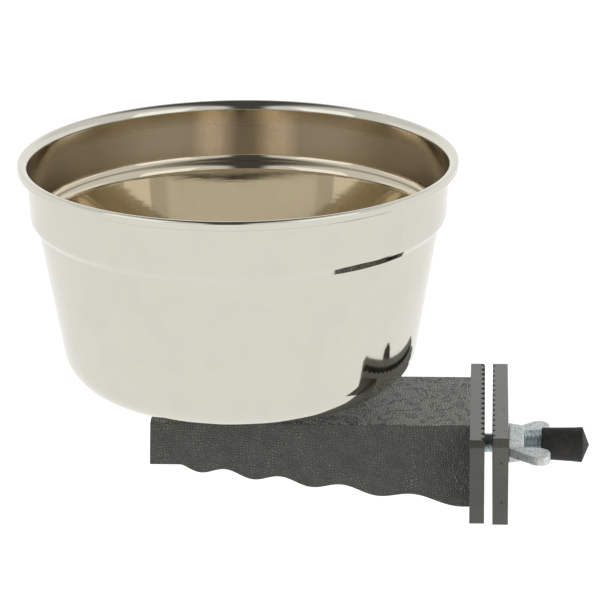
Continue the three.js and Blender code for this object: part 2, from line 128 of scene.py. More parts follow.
class Finish(Nodes):
    """A material that starts as one plain shader. Its place is the point on the piece, in metres."""

    def __init__(self, name, **sockets):
        self.material = bpy.data.materials.new(name)
        self.material.use_nodes = True
        super().__init__(self.material.node_tree)
        self.shader = self.nodes["Principled BSDF"]
        self.place = self.nodes.new("ShaderNodeTexCoord").outputs["Object"]
        self.wear(**sockets)

    def wear(self, **sockets):
        for name, value in sockets.items():
            self.plug(self.shader.inputs[name.replace("_", " ")], value)

    def height(self):
        return self.add("SeparateXYZ", "Z", Vector=self.place)

    def distance(self, point, place=None):
        return self.vector_maths("DISTANCE", place or self.place, point, output="Value")

    def stretch(self, x, y, z):
        return self.add("Mapping", "Vector", Vector=self.place, Scale=(x, y, z))

    def noise(self, size, detail=3.0, roughness=0.5, vector=None):
        """Cloudy noise whose largest blotches are about size metres across, from 0 to 1."""
        return self.add("TexNoise", "Fac", Vector=vector or self.place, Scale=1 / size, Detail=detail,
                        Roughness=roughness)

    def cell_walls(self, size, disorder, vector):
        """How far a place is from the wall of its cell, in cells of about size metres. Cells without
        disorder are a square grid."""
        return self.add("TexVoronoi", "Distance", {"feature": "DISTANCE_TO_EDGE"}, Vector=vector,
                        Scale=1 / size, Randomness=disorder)

    def warp(self, size, reach):
        """The place plus reach times noise from -0.5 to 0.5, in swirls of about size metres."""
        push = self.add("TexNoise", "Color", Vector=self.place, Scale=1 / size, Detail=1.0)
        centred = self.vector_maths("SUBTRACT", push, (0.5, 0.5, 0.5))
        return self.vector_maths("MULTIPLY_ADD", centred, (reach, reach, reach), self.place)

    def blend(self, share, first, second):
        """The first colour where share is 0, the second where it is 1, and between them a mix."""
        node = self.nodes.new("ShaderNodeMix")
        node.data_type = "RGBA"
        for name, value in (("Factor_Float", share), ("A_Color", first), ("B_Color", second)):
            self.plug(next(s for s in node.inputs if s.identifier == name), value)
        return next(s for s in node.outputs if s.identifier == "Result_Color")

    def bump(self, height, depth, under=None):
        """The skin's slope, tilted as if height from 0 to 1 stood depth metres out of it."""
        inputs = {"Height": height, "Distance": depth, "Strength": 1.0}
        if under is not None:
            inputs["Normal"] = under
        return self.add("Bump", "Normal", **inputs)


def dress(piece, body, slot, node, *materials):
    """Gives a finished piece its materials, and tells the frame what it rides on and stands for."""
    piece.data.materials.clear()
    for material in materials:
        piece.data.materials.append(material)
    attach(piece, body)
    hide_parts(node)


def new_piece(name, mesh):
    piece = bpy.data.objects.new(name, mesh)
    bpy.context.scene.collection.objects.link(piece)
    return piece


def rounded_copy(node, name, rounding, split_at=None):
    """A copy of a solid as the tool leaves it: the same faces, with every sharp corner rounded over
    by an arc that starts at the distance rounding from it. Faces that cross the plane of x at
    split_at are cut in two there, so that each side can have a finish of its own."""
    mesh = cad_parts[node].data.copy()
    mesh.name = name
    work = bmesh.new()
    work.from_mesh(mesh)
    bmesh.ops.remove_doubles(work, verts=work.verts, dist=1e-6)
    bmesh.ops.dissolve_limit(work, angle_limit=FLAT_WITHIN, verts=work.verts, edges=work.edges)
    if split_at is not None:
        whole = work.verts[:] + work.edges[:] + work.faces[:]
        bmesh.ops.bisect_plane(work, geom=whole, dist=1e-6, plane_co=(split_at, 0, 0),
                               plane_no=(1, 0, 0))
    work.to_mesh(mesh)
    work.free()
    mesh.shade_smooth()
    mesh.set_sharp_from_angle(angle=SHARP_CORNER)
    piece = new_piece(name, mesh)
    bevel = piece.modifiers.new("corners", "BEVEL")
    bevel.width = rounding
    bevel.segments = CORNER_STEPS
    bevel.limit_method = "ANGLE"
    bevel.angle_limit = SHARP_CORNER
    bevel.harden_normals = True
    return piece


def face_values(mesh, name):
    """The centre or the normal of each face, a row of three numbers each."""
    values = np.zeros(3 * len(mesh.polygons))
    mesh.polygons.foreach_get(name, values)
    return values.reshape(-1, 3)


def moulded_plastic(name, dark, light, grain, marks=()):
    """Satin plastic with faint flow marks and scuffs. Grain is the depth of its leather cells, humps
    between creases; the creases are painted darker as painted shade and the humps lighter as painted
    light, and on the arm's top both are stronger. Marks are the places of small round dents, each
    painted near black as painted shade."""
    finish = Finish(name, Metallic=0.0, IOR=1.58)
    flow = finish.noise(14 * MM, detail=4)
    fine = finish.noise(0.35 * MM, detail=2)
    specks = finish.span(finish.noise(1.7 * MM, detail=5, roughness=0.7), 0.73, 0.78)
    if grain:
        walls = finish.cell_walls(GRAIN_CELL, GRAIN_DISORDER, finish.warp(SWIRL_SIZE, SWIRL_REACH))
        hump = finish.span(walls, 0.02, 0.34)
        height = finish.maths("ADD", finish.maths("MULTIPLY", hump, 0.9),
                              finish.maths("MULTIPLY", fine, 0.12))
        # The grain's colour follows its humps: creases painted darker as painted shade, humps lighter
        # as painted light.
        shade = finish.maths("MULTIPLY", hump, finish.span(flow, 0.3, 0.7, 0.7, 1.0))
        # The arm's top face gets a stronger painted highlight and painted shade than its sides.
        painted_top_share = finish.span(finish.height(), ARM_TOP - 0.3 * MM, ARM_TOP - 0.05 * MM)
        light = finish.blend(painted_top_share, light, ARM_TOP_PAINTED_HIGHLIGHT)
        dark = finish.blend(painted_top_share, dark, ARM_TOP_PAINTED_SHADE)
        normal = finish.bump(height, grain)
        roughness = finish.span(hump, 0.0, 1.0, 0.55, 0.26)
    else:
        shade = finish.span(flow, 0.35, 0.65)
        normal = finish.bump(finish.noise(0.8 * MM, detail=4), 0.02 * MM)
        roughness = finish.span(fine, 0.3, 0.7, 0.22, 0.32)
    colour = finish.blend(shade, dark, light)
    colour = finish.blend(finish.maths("MULTIPLY", specks, 0.3), colour, SCUFF_COLOUR)
    for mark in marks:
        dent = finish.span(finish.distance(mark), 0.25 * MM, 0.55 * MM, 1.0, 0.0)
        # Each dent is painted near black as painted shade, as well as sunk by a bump.
        colour = finish.blend(dent, colour, PIN_MARK_PAINTED_SHADE)
        normal = finish.bump(dent, -MARK_DEPTH, under=normal)
    finish.wear(Base_Color=colour, Roughness=roughness, Normal=normal)
    return finish.material


arm_plastic = moulded_plastic("leather_grained_plastic", ARM_CREASE_PAINTED_SHADE, ARM_HUMP_PAINTED_LIGHT, GRAIN_DEPTH)
smooth_plastic = moulded_plastic("smooth_plastic", SMOOTH_COLOUR, SMOOTH_LIGHT, 0)
bracket = rounded_copy("bracket", "moulded_bracket", MOULD_ROUND, split_at=FLANGE_BACK)
dress(bracket, "bracket", "bracket_plastic", "bracket", arm_plastic, smooth_plastic)
smooth_side = face_values(bracket.data, "center")[:, 0] > FLANGE_BACK - 0.01 * MM
bracket.data.polygons.foreach_set("material_index", smooth_side.astype(np.int32))

# Outer plate: a loose moulding of the same plastic, with fine V grooves that bite on the wires and a
# clearance hole for the bolt. It is smooth all over, with small round marks from the tool's pins.
PLATE_COLOUR = (0.067, 0.068, 0.057, 1)
PLATE_LIGHT = (0.083, 0.084, 0.070, 1)
PIN_MARKS = np.array([(6.6, 20.7, 15.4), (6.3, -9.2, 15.4), (6.7, -30.2, 15.4), (5.5, -39.1, 7.6),
                      (5.7, -39.1, -6.2)]) * MM
plate_plastic = moulded_plastic("plate_plastic", PLATE_COLOUR, PLATE_LIGHT, 0, PIN_MARKS)
plate = rounded_copy("clamp_plate", "moulded_plate", MOULD_ROUND)
dress(plate, "outer_plate", "plate_plastic", "clamp_plate", plate_plastic)

# Clamp bolt: a zinc-plated coach bolt of 1/4 inch, its domed head behind the flange and its square
# neck held in it. The rolled thread runs from the gap between the plates to the chamfered end.
BOLT_RADIUS = 3.175 * MM
BOLT_HEAD_RADIUS = 7.4 * MM
BOLT_HEAD_HEIGHT = 3.9 * MM
BOLT_HEAD_EDGE = 0.3 * MM
NECK_LENGTH = 4 * MM
NECK_POWER = 9
THREAD_PITCH = 1.27 * MM
THREAD_DEPTH = 0.62 * MM
THREAD_FLAT = 0.1
THREAD_START = 5 * MM
TIP_CHAMFER = 0.9 * MM
BOLT_SIDES = 64
BOLT_STEP = 0.09 * MM
BOLT_COLOUR = (0.52, 0.60, 0.63, 1)
PIT_COLOUR = (0.1, 0.11, 0.12, 1)
STRAW_TINT = (0.72, 0.72, 0.66, 1)
TEAL_TINT = (0.46, 0.60, 0.66, 1)


def grid_corners(points, closed_across=False):
    """The corners of a grid of points, rows by columns, and its quads; the columns close on
    themselves, and closed_across joins the last row to the first too."""
    rows, columns = points.shape[:2]
    row = np.arange(rows if closed_across else rows - 1)[:, None]
    column = np.arange(columns)[None, :]
    after_row, after_column = (row + 1) % rows, (column + 1) % columns
    quads = np.stack([row * columns + column, row * columns + after_column,
                      after_row * columns + after_column, after_row * columns + column], axis=-1)
    return points.reshape(-1, 3), quads.reshape(-1, 4).tolist()


def grid_mesh(name, points, closed_across=False, capped=False):
    """A mesh of a grid's quads; capped closes each end row with one face."""
    corners, faces = grid_corners(points, closed_across)
    columns = points.shape[1]
    if capped:
        faces.append(np.arange(columns)[::-1].tolist())
        faces.append((np.arange(columns) + len(corners) - columns).tolist())
    mesh = bpy.data.meshes.new(name)
    mesh.from_pydata(corners, [], faces)
    mesh.shade_smooth()
    return mesh


def ring_angles(count):
    """Count angles in even steps of the full turn divided by count."""
    return np.arange(count) * 2 * np.pi / count


def make_bolt():
    """Rings along x, each of radius r(x, t). The head is a slice of a sphere, the neck a rounded
    square, which is r / (cos^n t + sin^n t)^(1/n), and the thread lowers r by its depth times a tooth
    wave, cut flat at crest and root, of the place along the pitch, less one pitch for each turn."""
    low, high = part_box("clamp_bolt")
    head_face = low.x + BOLT_HEAD_HEIGHT
    dome = np.linspace(0.02, np.pi / 2, 14)
    sphere = (BOLT_HEAD_RADIUS ** 2 + BOLT_HEAD_HEIGHT ** 2) / (2 * BOLT_HEAD_HEIGHT)
    dome_radius = BOLT_HEAD_RADIUS * np.sin(dome)
    dome_x = low.x + sphere - np.sqrt(sphere ** 2 - dome_radius ** 2)
    under_radius = [BOLT_HEAD_RADIUS - BOLT_HEAD_EDGE, BOLT_RADIUS + BOLT_HEAD_EDGE]
    shank_x = np.arange(head_face + 0.1 * MM, high.x, BOLT_STEP)
    shank_x = np.append(shank_x, high.x)
    shank_radius = np.minimum(BOLT_RADIUS, BOLT_RADIUS - TIP_CHAMFER + (high.x - shank_x))
    along = np.concatenate([dome_x, [head_face, head_face], shank_x])
    radius = np.concatenate([dome_radius, under_radius, shank_radius])
    angle = ring_angles(BOLT_SIDES)
    x, t = np.meshgrid(along, angle, indexing="ij")
    r = np.repeat(radius[:, None], len(angle), axis=1)
    cos_power, sin_power = np.abs(np.cos(t)) ** NECK_POWER, np.abs(np.sin(t)) ** NECK_POWER
    square = BOLT_RADIUS / (cos_power + sin_power) ** (1 / NECK_POWER)
    on_neck = (x > head_face) & (x < head_face + NECK_LENGTH)
    r = np.where(on_neck, square, r)
    turn = (x - THREAD_START) / THREAD_PITCH - t / (2 * np.pi)
    tooth = np.abs(2 * (turn % 1) - 1)
    groove = np.clip((tooth - THREAD_FLAT) / (1 - 2 * THREAD_FLAT), 0, 1)
    run_in = np.clip((x - THREAD_START) / THREAD_PITCH, 0, 1)
    crest_room = np.clip((r - (BOLT_RADIUS - THREAD_DEPTH)) / THREAD_DEPTH, 0, 1)
    threaded = x > head_face + NECK_LENGTH
    r = r - np.where(threaded, THREAD_DEPTH * groove * run_in * crest_room, 0)
    points = np.stack([x, r * np.cos(t), r * np.sin(t)], axis=-1)
    return grid_mesh("threaded_bolt", points, capped=True)


def zinc_plate(name, colour, dull, rough, pits, bare):
    """Zinc plating: a blue-grey metal with faint straw and teal patches, darker by the share dull in
    its pits, which are pits metres deep. Bare is the share of it that shines as metal, and the rest
    is the chalky skin of the plating."""
    finish = Finish(name, Metallic=bare)
    patch = finish.noise(3.5 * MM, detail=4, roughness=0.6)
    grit = finish.noise(0.55 * MM, detail=5, roughness=0.65)
    tint = finish.blend(finish.span(patch, 0.52, 0.68), colour, STRAW_TINT)
    cool = finish.blend(finish.span(patch, 0.42, 0.3), tint, TEAL_TINT)
    hollow = finish.maths("MULTIPLY", finish.span(grit, 0.54, 0.64), dull)
    finish.wear(Base_Color=finish.blend(hollow, cool, PIT_COLOUR),
                Roughness=finish.span(grit, 0.35, 0.65, rough, rough + 0.22),
                Normal=finish.bump(finish.span(grit, 0.3, 0.7, 1, 0), pits))
    return finish.material


bolt = new_piece("threaded_bolt", make_bolt())
bolt_zinc = zinc_plate("bolt_zinc", BOLT_COLOUR, dull=0.35, rough=0.22, pits=0.02 * MM, bare=1.0)
dress(bolt, "bracket", "bolt_zinc", "clamp_bolt", bolt_zinc)

# Wing nut: die-cast zinc, plated, with two thumb wings that sweep out from a tapered hub. Its skin is
# pitted from the casting, and every edge is soft.
NUT_COLOUR = (0.88, 0.94, 0.94, 1)
NUT_ROUND = 0.3 * MM
NUT_VOXEL = 0.22 * MM
NUT_SOFTENINGS = 6


def cast_copy(node, name):
    """A copy of a solid as a casting: its skin divided evenly, then relaxed so that edges go soft."""
    piece = rounded_copy(node, name, NUT_ROUND)
    remesh = piece.modifiers.new("skin", "REMESH")
    remesh.mode = "VOXEL"
    remesh.voxel_size = NUT_VOXEL
    remesh.use_smooth_shade = True
    relax = piece.modifiers.new("softening", "SMOOTH")
    relax.factor = 0.5
    relax.iterations = NUT_SOFTENINGS
    return piece


nut = cast_copy("wing_nut", "cast_wing_nut")
cast_zinc = zinc_plate("cast_zinc", NUT_COLOUR, dull=0.85, rough=0.22, pits=0.14 * MM, bare=0.4)
dress(nut, "wing_nut", "cast_zinc", "wing_nut", cast_zinc)

# Cap: a moulded sleeve of black rubber with a conical nose, pushed over the bolt's end to cover the
# thread. It flares a little where the nose begins, and droops on the bolt.
CAP_MOUTH = 5.35 * MM
CAP_END = 6 * MM
CAP_NOSE = 2.4 * MM
CAP_BORE = 3.475 * MM
CAP_DROOP = np.radians(1.4)
CAP_FACE = 19.2 * MM
CAP_TIP_WALL = 2.9 * MM
CAP_FLARE = 0.25 * MM
CAP_FLARE_LENGTH = 3 * MM
CAP_SIDES = 96
CAP_COLOUR = (0.0125, 0.0115, 0.0095, 1)
DUST_SHARE = 3


def turned(name, profile, sides, ends_closed):
    """A profile of radius and height turned round z: each ring is radius times (cos, sin) of its
    angle. An end of no radius closes in one point, and otherwise the last ring joins the first."""
    radius, height = np.asarray(profile, float).T
    rings = slice(1, -1) if ends_closed else slice(None)
    angle = ring_angles(sides)
    r, z = radius[rings], height[rings]
    points = np.stack([np.outer(r, np.cos(angle)), np.outer(r, np.sin(angle)),
                       np.repeat(z[:, None], sides, axis=1)], axis=-1)
    if not ends_closed:
        return grid_mesh(name, points, closed_across=True)
    corners, quads = grid_corners(points)
    tips = np.array([[0, 0, height[0]], [0, 0, height[-1]]])
    first, after = np.arange(sides), (np.arange(sides) + 1) % sides
    last_ring = (len(r) - 1) * sides
    foot = np.stack([after, first, np.full(sides, len(corners))], axis=1)
    head = np.stack([first + last_ring, after + last_ring, np.full(sides, len(corners) + 1)], axis=1)
    mesh = bpy.data.meshes.new(name)
    mesh.from_pydata(np.vstack([corners, tips]), [], quads + foot.tolist() + head.tolist())
    mesh.shade_smooth()
    return mesh


def corner_arc(before, corner, after, radius, steps):
    """The arc that rounds a corner of a profile. Its centre lies on the corner's bisector, at the
    radius over the sine of half the angle, so that it touches both sides."""
    before, corner, after = (np.asarray(p, float) for p in (before, corner, after))
    back = (before - corner) / np.linalg.norm(before - corner)
    on = (after - corner) / np.linalg.norm(after - corner)
    half = np.arccos(np.clip(back @ on, -1, 1)) / 2
    middle = (back + on) / np.linalg.norm(back + on)
    centre = corner + middle * radius / np.sin(half)
    start = corner + back * radius / np.tan(half) - centre
    end = corner + on * radius / np.tan(half) - centre
    first, last = np.arctan2(start[1], start[0]), np.arctan2(end[1], end[0])
    sweep = (last - first + np.pi) % (2 * np.pi) - np.pi
    angle = first + sweep * np.linspace(0, 1, steps)
    return centre + radius * np.stack([np.cos(angle), np.sin(angle)], axis=1)


def rounded_profile(corners, radii):
    """A run of corners, each rounded by an arc of its own radius; a radius of 0 leaves it sharp."""
    out = []
    for i, (corner, radius) in enumerate(zip(corners, radii)):
        if radius:
            after = corners[(i + 1) % len(corners)]
            out.append(corner_arc(corners[i - 1], corner, after, radius, steps=6))
        else:
            out.append(np.array([corner], float))
    return np.concatenate(out)


cap_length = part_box("bolt_cap")[1].x - CAP_FACE - CAP_NOSE
bore_depth = cap_length - CAP_TIP_WALL
cap_profile = rounded_profile(
    [(0, bore_depth), (CAP_BORE, bore_depth), (CAP_BORE, 0), (CAP_MOUTH, 0),
     (CAP_END - CAP_FLARE, cap_length - CAP_FLARE_LENGTH), (CAP_END, cap_length),
     (0, cap_length + CAP_NOSE)],
    [0, 0.2 * MM, 0.3 * MM, 0.35 * MM, 6 * MM, 0.3 * MM, 0])
cap_mesh = turned("rubber_cap", cap_profile, CAP_SIDES, ends_closed=True)
along_x = Matrix.Rotation(CAP_DROOP, 4, "Y") @ Matrix.Rotation(np.pi / 2, 4, "Y")
cap_mesh.transform(Matrix.Translation((CAP_FACE, 0, 0)) @ along_x)
cap = new_piece("rubber_cap", cap_mesh)


def rubber(name, colour, rough):
    """Moulded rubber: near black, dusty in patches, with a skin of very fine dimples."""
    finish = Finish(name, Metallic=0.0, IOR=1.5)
    dust = finish.noise(2.5 * MM, detail=5, roughness=0.7)
    skin = finish.noise(0.3 * MM, detail=3)
    dusty = tuple(DUST_SHARE * c for c in colour[:3]) + (1,)
    finish.wear(Base_Color=finish.blend(finish.span(dust, 0.5, 0.75), colour, dusty),
                Roughness=finish.span(skin, 0.3, 0.7, rough, rough + 0.15),
                Normal=finish.bump(skin, 0.03 * MM))
    return finish.material


cap_rubber = rubber("cap_rubber", CAP_COLOUR, rough=0.58)
dress(cap, "bolt_cap", "cap_rubber", "bolt_cap", cap_rubber)

# Twist lock: a plastic hub with three lugs, screwed to the arm's top through a rubber ring, and a
# drawn steel ring welded under the bowl, whose notched lip drops over the lugs and turns under them.
HUB_ROUND = 0.3 * MM
SCREW_ROUND = 0.15 * MM
LOCK_RING_ROUND = 0.2 * MM
RING_INNER = 14.2 * MM
RING_ROUND = 0.4 * MM
RING_SIDES = 128
RING_COLOUR = (0.03, 0.03, 0.03, 1)
DRAWN_DARK = (0.42, 0.41, 0.38, 1)
DRAWN_LIGHT = (0.55, 0.54, 0.5, 1)

hub = rounded_copy("lock_hub", "moulded_hub", HUB_ROUND)
dress(hub, "bracket", "hub_plastic", "lock_hub", smooth_plastic)

for number in (1, 2):
    node = f"hub_screw_{number}"
    screw = rounded_copy(node, f"countersunk_screw_{number}", SCREW_ROUND)
    dress(screw, "bracket", "screw_zinc", node, bolt_zinc)

ring_low, ring_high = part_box("friction_ring")
ring_centre = (ring_low + ring_high) / 2
ring_outer = (ring_high.x - ring_low.x) / 2
half_thick = (ring_high.z - ring_low.z) / 2
ring_profile = rounded_profile(
    [(RING_INNER, -half_thick), (ring_outer, -half_thick), (ring_outer, half_thick),
     (RING_INNER, half_thick)], [RING_ROUND] * 4)
ring_mesh = turned("rubber_ring", ring_profile, RING_SIDES, ends_closed=False)
ring_mesh.transform(Matrix.Translation(ring_centre))
ring = new_piece("rubber_ring", ring_mesh)
ring_rubber = rubber("ring_rubber", RING_COLOUR, rough=0.7)
dress(ring, "friction_ring", "ring_rubber", "friction_ring", ring_rubber)

lock_plate = rounded_copy("lock_plate", "drawn_lock_ring", LOCK_RING_ROUND)


def drawn_steel():
    """Drawn stainless sheet: dull, with fine lines all round and a faint mottle."""
    finish = Finish("drawn_steel", Metallic=1.0, Anisotropic=0.3)
    lines = finish.noise(0.2 * MM, detail=2, vector=finish.stretch(0.08, 0.08, 1))
    mottle = finish.noise(6 * MM, detail=4)
    finish.wear(Base_Color=finish.blend(mottle, DRAWN_DARK, DRAWN_LIGHT),
                Roughness=finish.span(lines, 0.3, 0.7, 0.28, 0.42),
                Normal=finish.bump(lines, 0.01 * MM))
    return finish.material


dress(lock_plate, "bowl", "drawn_steel", "lock_plate", drawn_steel())

# Bowl: one disc of stainless sheet, drawn to a pot, stepped out to a collar and curled over at the rim.
# It is buffed to a mirror outside and in the lower pot, and left satin inside the collar.
bowl_low, bowl_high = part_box("bowl")
bowl_centre = (bowl_low + bowl_high) / 2
RIM_RADIUS = (bowl_high.x - bowl_low.x) / 2
BOWL_HEIGHT = bowl_high.z - bowl_low.z
SHEET = 0.7 * MM
RIM_INNER_ROUND = 2.9 * MM
RIM_OUTER_ROUND = 0.9 * MM
RIM_DEPTH = 3.1 * MM
CURL_END = np.radians(-110)
COLLAR_TOP = 69.9 * MM
COLLAR_FOOT = 69.1 * MM
STEP_TOP = 58 * MM
STEP_FOOT = 55 * MM
BODY_TOP = 66.6 * MM
COLLAR_FOOT_ROUND = 3 * MM
STEP_FOOT_ROUND = 0.6 * MM
INNER_LEDGE = np.array([68.4, 57.0]) * MM
INNER_FOOT = np.array([65.5, 55.6]) * MM
INNER_LEDGE_ROUND = 2.4 * MM
INNER_FOOT_ROUND = 3.4 * MM
BASE_RADIUS = 44.5 * MM
BASE_CORNER = 14.9 * MM
BOWL_SIDES = 320
OUTSIDE_COLOUR = (0.675, 0.66, 0.575, 1)
# The inside is the same steel as the outside, given a warmer, darker colour as a painted reflection of
# a warm room.
INSIDE_PAINTED_WARM_REFLECTION = (0.66, 0.60, 0.48, 1)
SATIN_FOOT = STEP_TOP + 0.4 * MM
SATIN_TOP = bowl_high.z - 5.5 * MM
# The satin's brown is a painted reflection of a warm, dim room; between these two colours it differs at
# random.
SATIN_DARK_PAINTED_REFLECTION = (0.50, 0.43, 0.32, 1)
SATIN_LIGHT_PAINTED_REFLECTION = (0.565, 0.487, 0.367, 1)
# Directions from the bowl's axis of two painted highlights on the collar's back, and their colour.
PAINTED_HIGHLIGHT_DIRECTIONS = [(np.sin(t), np.cos(t), 0) for t in np.radians((-11, 7.5))]
PAINTED_HIGHLIGHT_COLOUR = (1, 0.83, 0.63, 1)
NICK_COLOUR = (0.16, 0.13, 0.1, 1)


def arc(centre, radius, first, last, steps):
    """Points of a circle, its centre plus the radius times (cos, sin), from one angle to another."""
    angle = np.linspace(first, last, steps)
    return np.asarray(centre) + radius * np.stack([np.cos(angle), np.sin(angle)], axis=1)


def moved_inwards(points, distance):
    """The inner face of a sheet: each point of the outer one, moved to the left of the line by the
    sheet's thickness along the bisector of its two neighbours."""
    step = np.diff(points, axis=0)
    step /= np.linalg.norm(step, axis=1)[:, None]
    arriving = np.vstack([step[:1], step])
    leaving = np.vstack([step, step[-1:]])
    along = arriving + leaving
    along /= np.linalg.norm(along, axis=1)[:, None]
    reach = distance / np.sum(along * arriving, axis=1)
    return points + np.stack([-along[:, 1], along[:, 0]], axis=1) * reach[:, None]


def bowl_profile():
    """The sheet's outline from the base's centre, up the outside, over and under the rolled edge, back
    round its outer face and down the inside, whose step is drawn softer, as an S with a flat middle."""
    step_foot, collar_foot = np.array([BODY_TOP, STEP_FOOT]), np.array([COLLAR_FOOT, STEP_TOP])
    roll_x = RIM_RADIUS - RIM_OUTER_ROUND
    turn = np.array([roll_x, BOWL_HEIGHT - RIM_INNER_ROUND])
    roll_top = np.array([roll_x, BOWL_HEIGHT - RIM_OUTER_ROUND])
    roll_foot = np.array([roll_x, BOWL_HEIGHT - RIM_DEPTH + RIM_OUTER_ROUND])
    inner_roll = RIM_OUTER_ROUND - SHEET
    collar_top = np.array([COLLAR_TOP, turn[1]])
    to_corner = np.array([BASE_RADIUS, BASE_CORNER]) - step_foot
    tangent = np.arcsin(BASE_CORNER / np.linalg.norm(to_corner))
    wall = np.arctan2(to_corner[1], to_corner[0]) + np.pi + tangent - np.pi / 2
    corner = arc((BASE_RADIUS, BASE_CORNER), BASE_CORNER, -np.pi / 2, wall, 28)
    floor = np.stack([np.linspace(0, BASE_RADIUS, 16)[:-1], np.zeros(15)], axis=1)
    lower = corner_arc(corner[-1], step_foot, collar_foot, STEP_FOOT_ROUND, 6)
    upper = corner_arc(step_foot, collar_foot, collar_top, COLLAR_FOOT_ROUND, 14)
    wall_rows = corner[-1] + (lower[0] - corner[-1]) * np.linspace(0, 1, 14)[1:-1, None]
    collar_rows = upper[-1] + (collar_top - upper[-1]) * np.linspace(0, 1, 8)[1:, None]
    outside = np.vstack([floor, corner, wall_rows, lower, upper, collar_rows])
    pot = moved_inwards(np.vstack([floor, corner]), SHEET)
    pot[0, 0] = 0
    collar = moved_inwards(np.vstack([upper[-1:], collar_rows]), SHEET)
    pot_rows = pot[-1] + (INNER_FOOT - pot[-1]) * np.linspace(0, 0.94, 14)[1:, None]
    foot = corner_arc(pot[-1], INNER_FOOT, INNER_LEDGE, INNER_FOOT_ROUND, 12)
    ledge = corner_arc(INNER_FOOT, INNER_LEDGE, collar[-1], INNER_LEDGE_ROUND, 12)
    collar = collar[collar[:, 1] > ledge[-1, 1] + 0.2 * MM]
    inside = np.vstack([pot, pot_rows, foot, ledge, collar])[::-1]
    quarter = np.pi / 2
    inner_curl = np.vstack([arc(turn, RIM_INNER_ROUND - SHEET, np.pi, quarter, 10)[1:],
                            arc(roll_top, inner_roll, quarter, 0, 5)[1:],
                            arc(roll_foot, inner_roll, 0, CURL_END, 6)])
    outer_curl = np.vstack([arc(roll_foot, RIM_OUTER_ROUND, CURL_END, 0, 14),
                            arc(roll_top, RIM_OUTER_ROUND, 0, quarter, 12),
                            arc(turn, RIM_INNER_ROUND, quarter, np.pi, 22)[1:]])
    return np.vstack([outside, inner_curl, outer_curl, inside[1:]])


bowl_mesh = turned("steel_bowl", bowl_profile(), BOWL_SIDES, ends_closed=True)
middle = Vector((bowl_centre.x, bowl_centre.y, bowl_low.z))
bowl_mesh.transform(Matrix.Translation(middle))
bowl = new_piece("steel_bowl", bowl_mesh)


def polished_steel(name, colour, rough, lines_depth, mottle_size):
    """Buffed stainless steel: a mirror with the wheel's fine lines and broader ridges running round
    it, a slow wave, a few smears, and small nicks along the rim."""
    finish = Finish(name, Metallic=1.0)
    lines = finish.noise(0.25 * MM, detail=3, vector=finish.stretch(0.03, 0.03, 1))
    ridges = finish.noise(1.6 * MM, detail=3, vector=finish.stretch(0.12, 0.12, 1))
    smear = finish.noise(mottle_size, detail=4, roughness=0.6)
    dull = tuple(0.97 * c for c in colour[:3]) + (1,)
    wave = finish.noise(30 * MM, detail=1)
    waved = finish.bump(ridges, 9 * lines_depth, under=finish.bump(wave, 0.05 * MM))
    on_rim = finish.span(finish.height(), bowl_high.z - 1.6 * MM, bowl_high.z - 1.2 * MM)
    chipped = finish.span(finish.noise(1.3 * MM, detail=5, roughness=0.75), 0.68, 0.73)
    nicks = finish.maths("MULTIPLY", on_rim, chipped)
    clean = finish.blend(finish.span(smear, 0.45, 0.7), colour, dull)
    finish.wear(Base_Color=finish.blend(nicks, clean, NICK_COLOUR),
                Roughness=finish.span(smear, 0.4, 0.75, rough, 1.8 * rough),
                Normal=finish.bump(lines, lines_depth, under=waved))
    return finish.material


def satin_steel():
    """Drawn steel left satin: the draw lines run round the collar, so that lights spread up and down,
    and it is buffed brighter towards the rim. Its brown is a painted reflection of a warm room,
    mottled at random. Two upright bands at the back are painted highlights, brighter and warmer; a
    band is where the direction from the bowl's axis comes near its own."""
    finish = Finish("satin_steel", Metallic=1.0, Anisotropic=0.75, Anisotropic_Rotation=0.25)
    round_axis = finish.add("Tangent", "Tangent", {"direction_type": "RADIAL", "axis": "Z"})
    lines = finish.noise(0.18 * MM, detail=3, vector=finish.stretch(0.02, 0.02, 1))
    mottle = finish.noise(9 * MM, detail=4)
    buffed = finish.span(finish.height(), SATIN_TOP - 3 * MM, SATIN_TOP + 2.4 * MM)
    satin = finish.span(lines, 0.3, 0.7, 0.29, 0.35)
    away = finish.vector_maths("SUBTRACT", finish.place, bowl_centre)
    level = finish.vector_maths("MULTIPLY", away, (1, 1, 0))
    direction = finish.vector_maths("NORMALIZE", level)
    # Two upright painted highlights at the back, bright where the direction from the axis comes near
    # theirs, broken up by a grainy noise.
    painted_highlights = 0.0
    for highlight_direction in PAINTED_HIGHLIGHT_DIRECTIONS:
        near = finish.span(finish.distance(highlight_direction, direction), 0.03, 0.12, 1.0, 0.0)
        painted_highlights = finish.maths("MAXIMUM", painted_highlights, near)
    grainy = finish.span(finish.noise(0.8 * MM, detail=3), 0.3, 0.65, 0.75, 1.0)
    painted_highlight_share = finish.maths("MULTIPLY", painted_highlights, grainy)
    # Brown as painted reflection, mottled at random.
    plain = finish.blend(mottle, SATIN_DARK_PAINTED_REFLECTION, SATIN_LIGHT_PAINTED_REFLECTION)
    finish.wear(Base_Color=finish.blend(painted_highlight_share, plain, PAINTED_HIGHLIGHT_COLOUR),
                Roughness=finish.maths("MULTIPLY", satin, finish.span(buffed, 0.0, 1.0, 1.0, 0.3)),
                Normal=finish.bump(lines, 0.003 * MM), Tangent=round_axis)
    return finish.material


outside_steel = polished_steel("mirror_steel_outside", OUTSIDE_COLOUR, rough=0.05,
                               lines_depth=0.0004 * MM, mottle_size=12 * MM)
